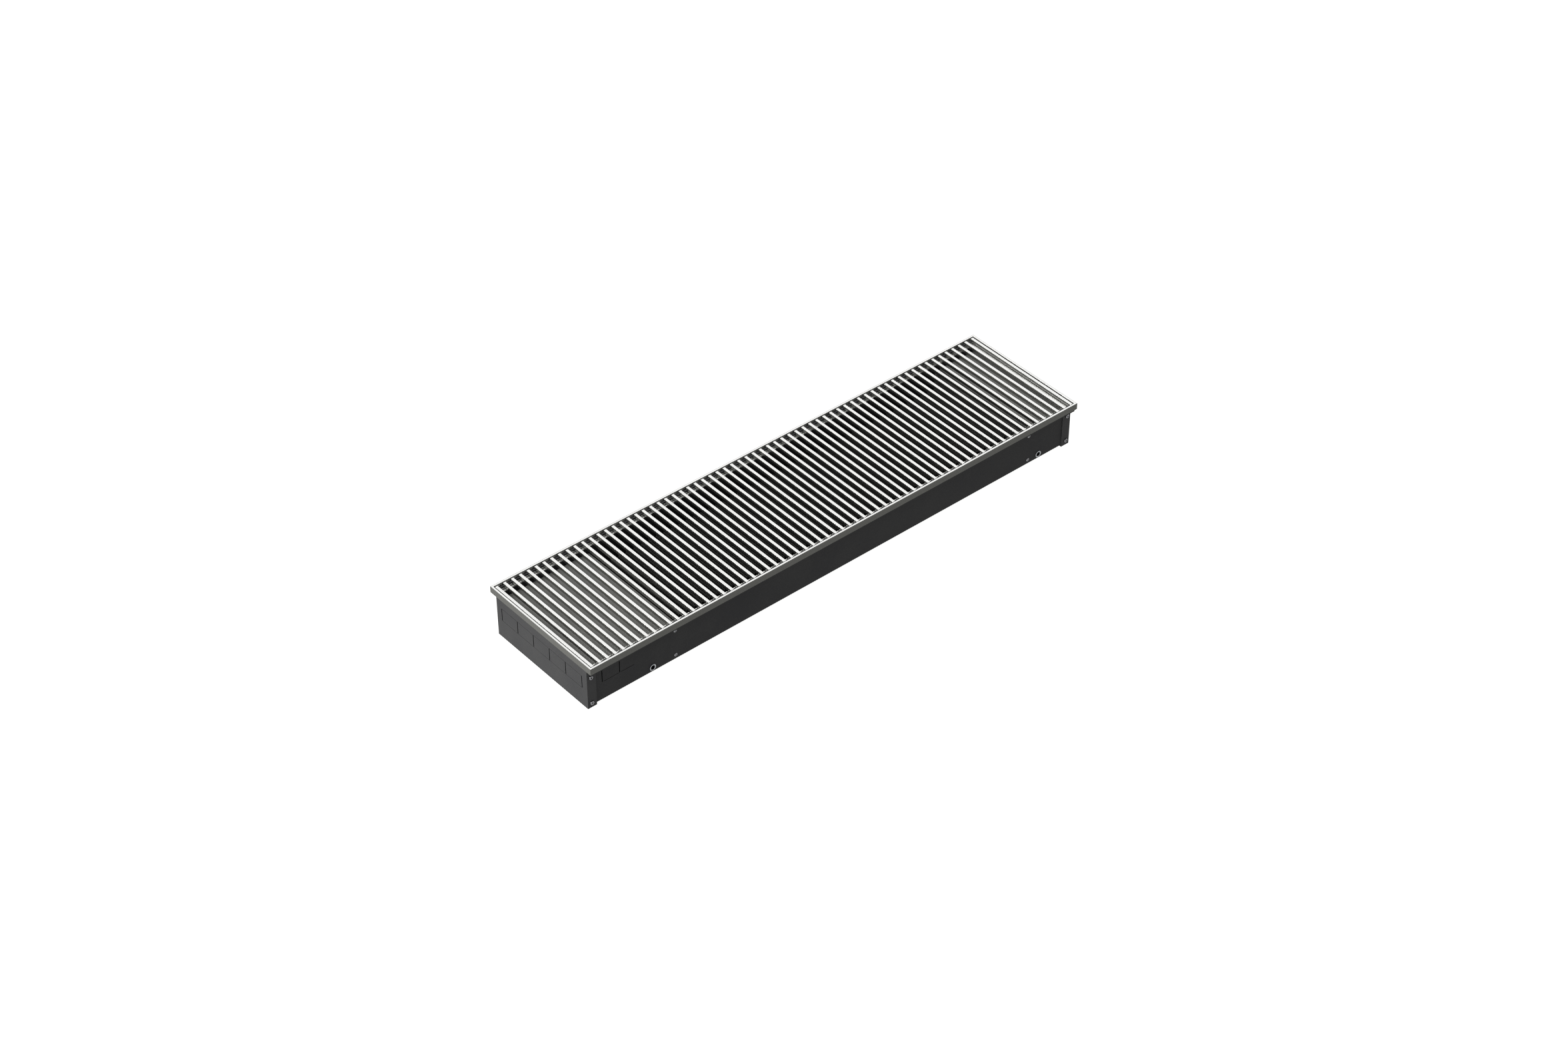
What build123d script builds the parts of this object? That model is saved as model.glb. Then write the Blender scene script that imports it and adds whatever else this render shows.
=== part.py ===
"""Floor trench convector: a folded steel trough with a finned water coil under a roll-up grille of cross bars.

+X runs along the trough, +Z is up, and the origin is the bottom centre. All sizes are in millimetres.
"""

import os
from build123d import *

os.makedirs("parts", exist_ok=True)

# ---- Driving dimensions ----
frame_length = 1006.0
frame_width = 250.0
overall_height = 88.5

lip_width = 3.7
ledge_drop = 8.2
ledge_thickness = 1.8
ledge_reach = 14.5
skirt_drop = 11.5
skirt_thickness = 1.2

trough_sheet = 1.2
trough_length = 1000.0
trough_width = 222.0
trough_flange_edge = 122.8
trough_flange_lip = 6.0
trough_bend = 1.8

end_sheet = 1.5
end_flange = 15.5

bar_pitch = 15.0
bar_count = 67
rolling_bars = 6
bar_width = 5.0
bar_height = 6.1
bar_length = 240.0
bar_drop = 1.0
bar_edge_radius = 0.5

cover_drop = 20.0
left_web_x = -325.4
right_web_x = 414.9

tube_radius = 7.5
tube_wall = 0.9
tube_pitch = 40.0
tube_z = 33.0
fin_thickness = 0.5
fin_pitch = 5.0
fin_depth = 170.0
fin_height = 50.0
fins_start = -312.0
fins_end = 398.0

# ---- Heights and faces that follow from them ----
half_length = frame_length / 2
half_width = frame_width / 2
ledge_top = overall_height - ledge_drop
ledge_bottom = ledge_top - ledge_thickness
trough_top = ledge_bottom
trough_half = trough_width / 2
trough_inner = trough_half - trough_sheet
floor_bottom = end_sheet
floor_top = floor_bottom + trough_sheet
end_face = trough_length / 2 + end_sheet
cap_face = trough_half + end_sheet
bar_top = overall_height - bar_drop
bar_bottom = bar_top - bar_height
first_bar_x = -bar_pitch * (bar_count - 1) / 2
cover_top = overall_height - cover_drop
cover_bottom = cover_top - trough_sheet
sides = (-1, 1)

# ---- Fastener places, as (x, z) on the long sides ----
cap_screw_x = 494.0
cap_screw_z = (9.0, 59.5)
rivet_z = (10.8, 59.4)
rivet_inset = 6.0
anchor_x = (-376.2, 432.6)
anchor_z = 10.8
levelling_y = 85.0
cap_screw_points = [(side * cap_screw_x, z) for side in sides for z in cap_screw_z]
rivet_points = [(web - rivet_inset, z) for web in (left_web_x, right_web_x) for z in rivet_z]
anchor_points = [(x, anchor_z) for x in anchor_x]
levelling_points = [(x, y) for x in anchor_x for y in (-levelling_y, levelling_y)]
shank_radius = 2.0
anchor_radius = 4.5
levelling_hole = 5.0

# ---- Knock-out panels ----
slit_width = 1.8
side_slit_x = (-471.8, -438.6)
side_slit_bottom = 36.8
side_slit_top = 59.4
seam_width = 0.9
side_seams = ((-469.6, -440.8), (-436.4, -411.0))
end_slit_y = (-100.0, -60.0, -20.0, 20.0, 60.0, 100.0)
end_slit_bottom = 35.0
end_slit_top = 59.0
score_depth = 0.4
score_width = 0.6


def save(name, label):
    """Labels a finished piece and writes its STEP file."""
    name.part.label = label
    export_step(name.part, f"parts/{label}.step")


def side_seats(points, face):
    """Planes that face outwards on both long sides at the given (x, z) points."""
    return [
        Plane(origin=(x, side * face, z), x_dir=(1, 0, 0), z_dir=(0, side, 0))
        for side in sides
        for x, z in points
    ]


# ---- Trough: one sheet folded into a U, with flanges turned out and down ----
fold_y = trough_half - trough_sheet / 2
fold_floor = floor_bottom + trough_sheet / 2
fold_top = trough_top - trough_sheet / 2
fold_edge = trough_flange_edge - trough_sheet / 2
fold_points = [
    (-fold_edge, trough_top - trough_flange_lip),
    (-fold_edge, fold_top),
    (-fold_y, fold_top),
    (-fold_y, fold_floor),
    (fold_y, fold_floor),
    (fold_y, fold_top),
    (fold_edge, fold_top),
    (fold_edge, trough_top - trough_flange_lip),
]
side_slit_middle = (side_slit_bottom + side_slit_top) / 2

with BuildPart() as trough_channel:
    with BuildSketch(Plane.YZ.offset(-trough_length / 2)):
        with BuildLine():
            FilletPolyline(*fold_points, radius=trough_bend)
        trace(line_width=trough_sheet)
    extrude(amount=trough_length)
    # knock-out slits for the pipes near the left end, and the holes in both long sides
    with BuildSketch(Plane.XZ):
        with Locations(*[(x, side_slit_middle) for x in side_slit_x]):
            Rectangle(slit_width, side_slit_top - side_slit_bottom)
        for start, end in side_seams:
            with Locations(((start + end) / 2, side_slit_bottom)):
                Rectangle(end - start, seam_width)
        with Locations(*cap_screw_points, *rivet_points):
            Circle(shank_radius)
        with Locations(*anchor_points):
            Circle(anchor_radius)
    extrude(amount=trough_half + 1, both=True, mode=Mode.SUBTRACT)
    # clearance for the levelling screws in the floor
    with BuildSketch(Plane.XY):
        with Locations(*levelling_points):
            Circle(levelling_hole)
    extrude(amount=floor_top + 1, mode=Mode.SUBTRACT)
save(trough_channel, "trough_channel")


# ---- End plates: each caps the trough, folded round its sides and its floor ----
def end_plate(side):
    """Flat plate with two side flanges, a bottom flange and knock-out slits."""
    inner = side * trough_length / 2
    flange_x = inner - side * end_flange / 2
    flange_top = trough_top - trough_sheet - trough_bend
    outer_plane = Plane(origin=(side * end_face, 0, 0), x_dir=(0, side, 0), z_dir=(side, 0, 0))
    slit_middle = (end_slit_bottom + end_slit_top) / 2
    with BuildPart() as plate:
        with BuildSketch(outer_plane):
            with Locations((0, trough_top / 2)):
                Rectangle(2 * cap_face, trough_top)
        extrude(amount=-end_sheet)
        with BuildSketch(Plane.XY):
            with Locations((flange_x, 0)):
                Rectangle(end_flange, 2 * cap_face)
        extrude(amount=end_sheet)
        with BuildSketch(Plane.XY):
            with Locations(*[(flange_x, y * (cap_face - end_sheet / 2)) for y in sides]):
                Rectangle(end_flange, end_sheet)
        extrude(amount=flange_top)
        with BuildSketch(Plane.XZ):
            with Locations(*[(side * cap_screw_x, z) for z in cap_screw_z]):
                Circle(shank_radius)
        extrude(amount=cap_face + 1, both=True, mode=Mode.SUBTRACT)
        with BuildSketch(outer_plane):
            with Locations(*[(y, slit_middle) for y in end_slit_y]):
                Rectangle(slit_width, end_slit_top - end_slit_bottom)
        extrude(amount=-end_sheet, mode=Mode.SUBTRACT)
        # shallow scores join the slits, so that a panel breaks out clean
        with BuildSketch(outer_plane):
            with Locations((0, end_slit_bottom), (0, end_slit_top)):
                Rectangle(end_slit_y[-1] - end_slit_y[0], score_width)
        extrude(amount=-score_depth, mode=Mode.SUBTRACT)
    return plate


end_plate_left = end_plate(-1)
save(end_plate_left, "end_plate_left")
end_plate_right = end_plate(1)
save(end_plate_right, "end_plate_right")

# ---- Pan-head screws that hold the end plates to the trough ----
pan_radius = 3.5
pan_height = 2.2
recess_length = 4.0
recess_width = 0.9
recess_depth = 1.2

with BuildPart() as pan_screw:
    with BuildSketch():
        Circle(pan_radius)
    extrude(amount=pan_height)
    fillet(pan_screw.edges().filter_by(GeomType.CIRCLE).sort_by(Axis.Z)[-1], radius=1.2)
    with BuildSketch():
        Circle(shank_radius)
    extrude(amount=-4.5)
    with BuildSketch(Plane.XY.offset(pan_height)):
        Rectangle(recess_length, recess_width)
        Rectangle(recess_width, recess_length)
    extrude(amount=-recess_depth, mode=Mode.SUBTRACT)

with BuildPart() as end_plate_screws:
    with Locations(*side_seats(cap_screw_points, cap_face)):
        add(pan_screw.part)
save(end_plate_screws, "end_plate_screws")

# ---- Threaded sockets in the long sides, for outside feet or anchors ----
socket_flange_radius = 6.0
socket_flange = 1.0
socket_length = 14.0
socket_bore = 3.4

with BuildPart() as anchor_socket:
    with BuildSketch():
        Circle(socket_flange_radius)
    extrude(amount=socket_flange)
    with BuildSketch():
        Circle(anchor_radius)
    extrude(amount=-socket_length)
    with BuildSketch(Plane.XY.offset(socket_flange)):
        Circle(socket_bore)
    extrude(amount=-socket_flange - socket_length, mode=Mode.SUBTRACT)

with BuildPart() as anchor_sockets:
    with Locations(*side_seats(anchor_points, trough_half)):
        add(anchor_socket.part)
save(anchor_sockets, "anchor_sockets")

# ---- Bulkheads: they part the coil from the two end compartments and carry the covers ----
web_bottom = 4.0
web_flange = 12.0
tube_y = [(i - 1.5) * tube_pitch for i in range(4)]
grommet_hole = tube_radius + 2.0
cover_screw_y = 80.0
cover_screw_radius = 2.0
cover_screw_inset = 8.0


def bulkhead(web_x, top_turn):
    """Folded web across the trough; side flanges turn to -X and the top flange to top_turn."""
    web_centre = (web_bottom + cover_bottom) / 2
    with BuildPart() as sheet:
        with BuildSketch(Plane.YZ.offset(web_x - trough_sheet / 2)):
            with Locations((0, web_centre)):
                Rectangle(2 * trough_inner, cover_bottom - web_bottom)
            with Locations(*[(y, tube_z) for y in tube_y]):
                Circle(grommet_hole, mode=Mode.SUBTRACT)
        extrude(amount=trough_sheet)
        with BuildSketch(Plane.XY.offset(web_bottom)):
            with Locations(*[(web_x - web_flange / 2, y * (trough_inner - trough_sheet / 2)) for y in sides]):
                Rectangle(web_flange, trough_sheet)
        extrude(amount=cover_bottom - trough_sheet - web_bottom)
        with BuildSketch(Plane.XY.offset(cover_bottom)):
            with Locations((web_x + top_turn * web_flange / 2, 0)):
                Rectangle(web_flange, 2 * trough_inner)
            with Locations(*[(web_x + top_turn * cover_screw_inset, y * cover_screw_y) for y in sides]):
                Circle(cover_screw_radius, mode=Mode.SUBTRACT)
        extrude(amount=-trough_sheet)
        with BuildSketch(Plane.XZ):
            with Locations(*[(web_x - rivet_inset, z) for z in rivet_z]):
                Circle(shank_radius)
        extrude(amount=trough_half, both=True, mode=Mode.SUBTRACT)
    return sheet


bulkhead_left = bulkhead(left_web_x, -1)
save(bulkhead_left, "bulkhead_left")
bulkhead_right = bulkhead(right_web_x, 1)
save(bulkhead_right, "bulkhead_right")

rivet_head_radius = 3.1
rivet_head = 1.1

with BuildPart() as rivet:
    with BuildSketch():
        Circle(rivet_head_radius)
    extrude(amount=rivet_head)
    fillet(rivet.edges().filter_by(GeomType.CIRCLE).sort_by(Axis.Z)[-1], radius=0.9)
    with BuildSketch():
        Circle(shank_radius)
    extrude(amount=-3.2)

with BuildPart() as bulkhead_rivets:
    with Locations(*side_seats(rivet_points, trough_half)):
        add(rivet.part)
save(bulkhead_rivets, "bulkhead_rivets")

# ---- Covers over the two end compartments, with the angles that hold their outer edges ----
cover_gap = 0.3
cover_half = trough_inner - cover_gap
cover_end = trough_length / 2 - 0.5
bracket_leg = 7.0
bracket_reach = 13.0
bracket_half = 100.0


def end_bracket(side):
    """Angle welded inside an end plate, whose top leg holds the cover's outer edge."""
    wall = side * trough_length / 2
    leg_x = wall - side * trough_sheet / 2
    reach_x = wall - side * bracket_reach / 2
    with BuildPart() as angle:
        with BuildSketch(Plane.XY.offset(cover_bottom)):
            with Locations((leg_x, 0)):
                Rectangle(trough_sheet, 2 * bracket_half)
        extrude(amount=-bracket_leg)
        with BuildSketch(Plane.XY.offset(cover_bottom)):
            with Locations((reach_x, 0)):
                Rectangle(bracket_reach, 2 * bracket_half)
            with Locations(*[(wall - side * cover_screw_inset, y * cover_screw_y) for y in sides]):
                Circle(cover_screw_radius, mode=Mode.SUBTRACT)
        extrude(amount=-trough_sheet)
    return angle


def cover_plate(inner_x, side, screw_points):
    """Flat sheet between a bulkhead and an end plate, with countersunk screw holes."""
    outer_x = side * cover_end
    with BuildPart() as sheet:
        with BuildSketch(Plane.XY.offset(cover_bottom)):
            with Locations(((inner_x + outer_x) / 2, 0)):
                Rectangle(abs(outer_x - inner_x), 2 * cover_half)
        extrude(amount=trough_sheet)
        with Locations(*[(x, y, cover_top) for x, y in screw_points]):
            CounterSinkHole(cover_screw_radius, cover_screw_head)
    return sheet


cover_screw_head = 3.1
bracket_screw_x = trough_length / 2 - cover_screw_inset
left_screws = [(x, y * cover_screw_y) for x in (left_web_x - cover_screw_inset, -bracket_screw_x) for y in sides]
right_screws = [(x, y * cover_screw_y) for x in (right_web_x + cover_screw_inset, bracket_screw_x) for y in sides]

cover_bracket_left = end_bracket(-1)
save(cover_bracket_left, "cover_bracket_left")
cover_bracket_right = end_bracket(1)
save(cover_bracket_right, "cover_bracket_right")
cover_plate_left = cover_plate(left_web_x - 1.6, -1, left_screws)
save(cover_plate_left, "cover_plate_left")
cover_plate_right = cover_plate(right_web_x + 0.6, 1, right_screws)
save(cover_plate_right, "cover_plate_right")

with BuildPart() as cover_screw:
    with BuildSketch(Plane.XZ):
        with BuildLine():
            cone_drop = cover_screw_head - cover_screw_radius
            Polyline(
                (0, 0),
                (cover_screw_head, 0),
                (cover_screw_radius, -cone_drop),
                (cover_screw_radius, -6),
                (0, -6),
                close=True,
            )
        make_face()
    revolve(axis=Axis.Z)
    with BuildSketch(Plane.XY):
        Rectangle(recess_length, recess_width)
        Rectangle(recess_width, recess_length)
    extrude(amount=-0.8, mode=Mode.SUBTRACT)

with BuildPart() as cover_screws:
    with Locations(*[(x, y, cover_top) for x, y in left_screws + right_screws]):
        add(cover_screw.part)
save(cover_screws, "cover_screws")

# ---- Frame: four mitred aluminium rails with a lip outside and a ledge inside ----
rail_profile = [
    (0, overall_height),
    (lip_width, overall_height),
    (lip_width, ledge_top),
    (ledge_reach, ledge_top),
    (ledge_reach, ledge_bottom),
    (skirt_thickness, ledge_bottom),
    (skirt_thickness, overall_height - skirt_drop),
    (0, overall_height - skirt_drop),
]
lip_edge_radius = 0.4


def long_rail(side):
    """Rail along X on one long side, mitred at both ends."""
    with BuildPart() as rail:
        with BuildSketch(Plane.YZ.offset(-half_length)) as profile:
            with BuildLine():
                Polyline(*[(side * (half_width - d), z) for d, z in rail_profile], close=True)
            make_face()
            fillet(profile.vertices().group_by(Axis.Y)[-1], radius=lip_edge_radius)
        extrude(amount=frame_length)
        for end in sides:
            corner = (end * half_length, side * half_width, 0)
            split(bisect_by=Plane(origin=corner, z_dir=(-end, side, 0)), keep=Keep.TOP)
    return rail


def end_rail(side):
    """Rail along Y at one end, mitred at both ends."""
    with BuildPart() as rail:
        with BuildSketch(Plane.XZ.offset(-half_width)) as profile:
            with BuildLine():
                Polyline(*[(side * (half_length - d), z) for d, z in rail_profile], close=True)
            make_face()
            fillet(profile.vertices().group_by(Axis.Y)[-1], radius=lip_edge_radius)
        extrude(amount=frame_width)
        for end in sides:
            corner = (side * half_length, end * half_width, 0)
            split(bisect_by=Plane(origin=corner, z_dir=(side, -end, 0)), keep=Keep.TOP)
    return rail


for rail_name, rail_builder, rail_side in (
    ("frame_rail_front", long_rail, -1),
    ("frame_rail_back", long_rail, 1),
    ("frame_rail_left", end_rail, -1),
    ("frame_rail_right", end_rail, 1),
):
    save(rail_builder(rail_side), rail_name)

# ---- Rubber strips in the corner of each long ledge, under the bar ends ----
strip_width = 3.8
strip_height = 0.8
for strip_name, strip_side in (("damping_strip_front", -1), ("damping_strip_back", 1)):
    with BuildPart() as damping_strip:
        with BuildSketch(Plane.XY.offset(ledge_top)):
            with Locations((0, strip_side * (half_width - lip_width - strip_width / 2))):
                Rectangle(2 * (half_length - ledge_reach), strip_width)
        extrude(amount=strip_height)
    save(damping_strip, strip_name)

# ---- Grille: cross bars on two wires, with a sleeve in each gap ----
wire_y = 117.0
wire_z = 84.0
wire_radius = 0.75
wire_hole = 0.8
sleeve_radius = 1.5
bar_gap = bar_pitch - bar_width
stub_length = 4.5
fixed_bars = bar_count - rolling_bars
first_fixed_x = first_bar_x + rolling_bars * bar_pitch
last_bar_x = -first_bar_x


def cross_bars(centres):
    """Flat bars across the trough with rounded top edges and a hole for each wire."""
    with BuildPart() as bars:
        with BuildSketch(Plane.XZ.offset(-bar_length / 2)) as profile:
            with Locations(*[(x, bar_bottom + bar_height / 2) for x in centres]):
                Rectangle(bar_width, bar_height)
            fillet(profile.vertices().group_by(Axis.Y)[-1], radius=bar_edge_radius)
        extrude(amount=bar_length)
        with BuildSketch(Plane.YZ.offset(centres[0] - bar_width)):
            with Locations(*[(y * wire_y, wire_z) for y in sides]):
                Circle(wire_hole)
        extrude(amount=centres[-1] - centres[0] + 2 * bar_width, mode=Mode.SUBTRACT)
    return bars


def wire_pieces(spans, outer, inner):
    """Round pieces along both wires, one for each (start, length), bored where inner is set."""
    with BuildPart() as pieces:
        for start, length in spans:
            with BuildSketch(Plane.YZ.offset(start)):
                with Locations(*[(y * wire_y, wire_z) for y in sides]):
                    Circle(outer)
                    if inner:
                        Circle(inner, mode=Mode.SUBTRACT)
            extrude(amount=length)
    return pieces


fixed_centres = [first_fixed_x + i * bar_pitch for i in range(fixed_bars)]
grille_bars = cross_bars(fixed_centres)
save(grille_bars, "grille_bars")

sleeve_spans = [(x + bar_width / 2, bar_gap) for x in fixed_centres[:-1]]
sleeve_spans.append((first_fixed_x - bar_width / 2 - stub_length, stub_length))
grille_sleeves = wire_pieces(sleeve_spans, sleeve_radius, wire_hole)
save(grille_sleeves, "grille_sleeves")

wire_start = first_fixed_x - bar_width / 2 - stub_length
grille_wires = wire_pieces([(wire_start, last_bar_x + bar_width / 2 - wire_start)], wire_radius, 0)
save(grille_wires, "grille_wires")

# the bars at the left end hinge on their wires, so that the grille can be rolled back
for number in range(1, rolling_bars + 1):
    bar_x = first_bar_x + (number - 1) * bar_pitch
    right_stub = (bar_x + bar_width / 2, stub_length)
    left_stub = (bar_x - bar_width / 2 - stub_length, stub_length)
    stubs = [right_stub] if number == 1 else [left_stub, right_stub]
    wire_left = bar_x - bar_width / 2 if number == 1 else left_stub[0]
    wire_right = bar_x + bar_width / 2 + stub_length
    save(cross_bars([bar_x]), f"rolling_bar_{number}")
    save(wire_pieces(stubs, sleeve_radius, wire_hole), f"rolling_sleeves_{number}")
    save(wire_pieces([(wire_left, wire_right - wire_left)], wire_radius, 0), f"rolling_wires_{number}")

# ---- Levelling screws in weld nuts on the trough floor ----
levelling_radius = 4.0
levelling_bottom = 0.3
levelling_length = 40.0
pad_radius = 9.0
pad_height = 1.0
nut_flats = 13.0
nut_height = 6.5
thread_clearance = 0.05
key_flats = 4.0
key_depth = 5.0

for number, (screw_x, screw_y) in enumerate(levelling_points, start=1):
    with BuildPart() as levelling_screw:
        with BuildSketch(Plane.XY.offset(levelling_bottom)):
            with Locations((screw_x, screw_y)):
                Circle(pad_radius)
        extrude(amount=pad_height)
        with BuildSketch(Plane.XY.offset(levelling_bottom)):
            with Locations((screw_x, screw_y)):
                Circle(levelling_radius)
        extrude(amount=levelling_length)
        with BuildSketch(Plane.XY.offset(levelling_bottom + levelling_length)):
            with Locations((screw_x, screw_y)):
                RegularPolygon(key_flats / 2, 6, major_radius=False)
        extrude(amount=-key_depth, mode=Mode.SUBTRACT)
    save(levelling_screw, f"levelling_screw_{number}")

with BuildPart() as levelling_nuts:
    with BuildSketch(Plane.XY.offset(floor_top)):
        with Locations(*levelling_points):
            RegularPolygon(nut_flats / 2, 6, major_radius=False)
            Circle(levelling_radius + thread_clearance, mode=Mode.SUBTRACT)
    extrude(amount=nut_height)
save(levelling_nuts, "levelling_nuts")

# ---- Coil: four copper tubes in a row through a pack of fins ----
tube_right = 424.0
middle_tube_left = -345.0
outer_tube_left = -403.0
collar_radius = tube_radius + 0.8
bend_radius = tube_pitch / 2

for tube_name, y, left in (
    ("tube_flow", tube_y[0], outer_tube_left),
    ("tube_second", tube_y[1], middle_tube_left),
    ("tube_third", tube_y[2], middle_tube_left),
    ("tube_return", tube_y[3], outer_tube_left),
):
    with BuildPart() as tube:
        with BuildSketch(Plane.YZ.offset(left)):
            with Locations((y, tube_z)):
                Circle(tube_radius)
                Circle(tube_radius - tube_wall, mode=Mode.SUBTRACT)
        extrude(amount=tube_right - left)
    save(tube, tube_name)


def return_bend(x, y, turn):
    """Half-turn tube between two neighbours; turn is +1 for a bend that bulges to +X."""
    axis = Axis((x, y, tube_z), (0, 0, 1))
    with BuildPart() as bend:
        with BuildSketch(Plane.YZ.offset(x)):
            with Locations((y - turn * bend_radius, tube_z)):
                Circle(tube_radius)
                Circle(tube_radius - tube_wall, mode=Mode.SUBTRACT)
        revolve(axis=axis, revolution_arc=180)
    return bend


right_bends = [return_bend(tube_right, y, 1) for y in (-tube_pitch, tube_pitch)]
with BuildPart() as return_bends_right:
    for bend in right_bends:
        add(bend.part)
save(return_bends_right, "return_bends_right")

return_bend_left = return_bend(middle_tube_left, 0, -1)
save(return_bend_left, "return_bend_left")

fin_count = round((fins_end - fins_start) / fin_pitch) + 1
with BuildPart() as fin_pack:
    for i in range(fin_count):
        with BuildSketch(Plane.YZ.offset(fins_start + i * fin_pitch)):
            with Locations((0, tube_z)):
                Rectangle(fin_depth, fin_height)
    extrude(amount=fin_thickness)
    # drawn collars space the fins along each tube
    with BuildSketch(Plane.YZ.offset(fins_start)):
        with Locations(*[(y, tube_z) for y in tube_y]):
            Circle(collar_radius)
    extrude(amount=fins_end - fins_start + fin_thickness)
    with BuildSketch(Plane.YZ.offset(fins_start)):
        with Locations(*[(y, tube_z) for y in tube_y]):
            Circle(tube_radius)
    extrude(amount=fins_end - fins_start + fin_thickness, mode=Mode.SUBTRACT)
save(fin_pack, "fin_pack")

# ---- Rubber grommets that hold the tubes in the bulkheads ----
grommet_outer = 11.5
grommet_half = 2.5

with BuildPart() as grommet:
    with BuildSketch(Plane.XZ):
        with BuildLine():
            Polyline(
                (-grommet_half, tube_radius),
                (grommet_half, tube_radius),
                (grommet_half, grommet_outer),
                (trough_sheet / 2, grommet_outer),
                (trough_sheet / 2, grommet_hole),
                (-trough_sheet / 2, grommet_hole),
                (-trough_sheet / 2, grommet_outer),
                (-grommet_half, grommet_outer),
                close=True,
            )
        make_face()
    revolve(axis=Axis.X)

with BuildPart() as tube_grommets:
    with Locations(*[(x, y, tube_z) for x in (left_web_x, right_web_x) for y in tube_y]):
        add(grommet.part)
save(tube_grommets, "tube_grommets")

# ---- Brass sockets for the flow and return pipes, and the air vent on the return ----
socket_left = -420.0
socket_right = -395.0
socket_flats = 24.0
thread_radius = 9.3
thread_length = 15.0
vent_x = -407.5
vent_radius = 5.0
vent_top = 56.0
vent_bore = 3.0
spindle_radius = 2.95
spindle_top = 60.0
square_flats = 4.0

for socket_name, y in (("flow_socket", tube_y[0]), ("return_socket", tube_y[3])):
    with BuildPart() as socket:
        with BuildSketch(Plane.YZ.offset(socket_left)):
            with Locations((y, tube_z)):
                RegularPolygon(socket_flats / 2, 6, major_radius=False)
        extrude(amount=socket_right - socket_left)
        with BuildSketch(Plane.YZ.offset(socket_left)):
            with Locations((y, tube_z)):
                Circle(thread_radius)
        extrude(amount=thread_length, mode=Mode.SUBTRACT)
        with BuildSketch(Plane.YZ.offset(socket_left)):
            with Locations((y, tube_z)):
                Circle(tube_radius - tube_wall)
        extrude(amount=socket_right - socket_left, mode=Mode.SUBTRACT)
        with BuildSketch(Plane.YZ.offset(outer_tube_left)):
            with Locations((y, tube_z)):
                Circle(tube_radius)
        extrude(amount=socket_right - outer_tube_left, mode=Mode.SUBTRACT)
    save(socket, socket_name)

vent_seat = tube_z + socket_flats / 2
spindle_bottom = vent_seat + 3.0
with BuildPart() as air_vent_body:
    with BuildSketch(Plane.XY.offset(vent_seat)):
        with Locations((vent_x, tube_y[3])):
            Circle(vent_radius)
    extrude(amount=vent_top - vent_seat)
    with BuildSketch(Plane.XY.offset(spindle_bottom)):
        with Locations((vent_x, tube_y[3])):
            Circle(vent_bore)
    extrude(amount=vent_top - spindle_bottom, mode=Mode.SUBTRACT)
save(air_vent_body, "air_vent_body")

with BuildPart() as air_vent_screw:
    with BuildSketch(Plane.XY.offset(spindle_bottom + 0.1)):
        with Locations((vent_x, tube_y[3])):
            Circle(spindle_radius)
    extrude(amount=vent_top - 1.0 - spindle_bottom)
    with BuildSketch(Plane.XY.offset(vent_top - 1.0)):
        with Locations((vent_x, tube_y[3])):
            Rectangle(square_flats, square_flats)
    extrude(amount=spindle_top - vent_top + 1.0)
save(air_vent_screw, "air_vent_screw")
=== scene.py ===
"""Floor trench convector: its finishes and fine parts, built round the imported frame. Metres, +Z up."""

import math

import bmesh
import bpy
import numpy as np
from mathutils import Matrix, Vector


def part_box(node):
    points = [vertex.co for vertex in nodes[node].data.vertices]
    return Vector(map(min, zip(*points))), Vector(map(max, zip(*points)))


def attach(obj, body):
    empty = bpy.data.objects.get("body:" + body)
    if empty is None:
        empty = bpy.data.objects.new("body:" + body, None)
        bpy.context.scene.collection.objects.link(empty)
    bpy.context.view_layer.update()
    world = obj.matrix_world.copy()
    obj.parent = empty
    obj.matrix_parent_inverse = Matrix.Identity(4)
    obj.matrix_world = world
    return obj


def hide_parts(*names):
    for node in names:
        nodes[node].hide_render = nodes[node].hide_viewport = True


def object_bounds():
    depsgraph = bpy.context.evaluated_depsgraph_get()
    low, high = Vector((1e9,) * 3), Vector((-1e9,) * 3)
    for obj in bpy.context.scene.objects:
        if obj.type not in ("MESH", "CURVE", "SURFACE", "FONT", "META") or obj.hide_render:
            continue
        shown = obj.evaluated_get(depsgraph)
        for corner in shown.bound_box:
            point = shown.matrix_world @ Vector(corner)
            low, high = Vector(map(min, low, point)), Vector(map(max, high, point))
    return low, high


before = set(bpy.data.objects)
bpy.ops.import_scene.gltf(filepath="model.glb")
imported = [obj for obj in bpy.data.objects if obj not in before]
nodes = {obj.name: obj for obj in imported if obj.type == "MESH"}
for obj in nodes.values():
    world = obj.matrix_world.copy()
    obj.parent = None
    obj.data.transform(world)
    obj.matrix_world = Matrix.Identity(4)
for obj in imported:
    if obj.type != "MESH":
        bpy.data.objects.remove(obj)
cad_low, cad_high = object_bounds()

# ---- Camera ----
# A long lens from the pipe end, in front of the long side and above it, aimed near the unit's middle.
CAMERA_AZIMUTH = -40.36
CAMERA_ELEVATION = 39.466
CAMERA_ROLL = 0.027
CAMERA_DISTANCE = 5.1856
CAMERA_SLIDE = (-0.0166, 0.02035)
CAMERA_LENS = 74.5
CAMERA_SENSOR = 36.0
VIEW_DEPTH = 50.0
CENTRE_OFFSET = -0.0016


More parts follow.
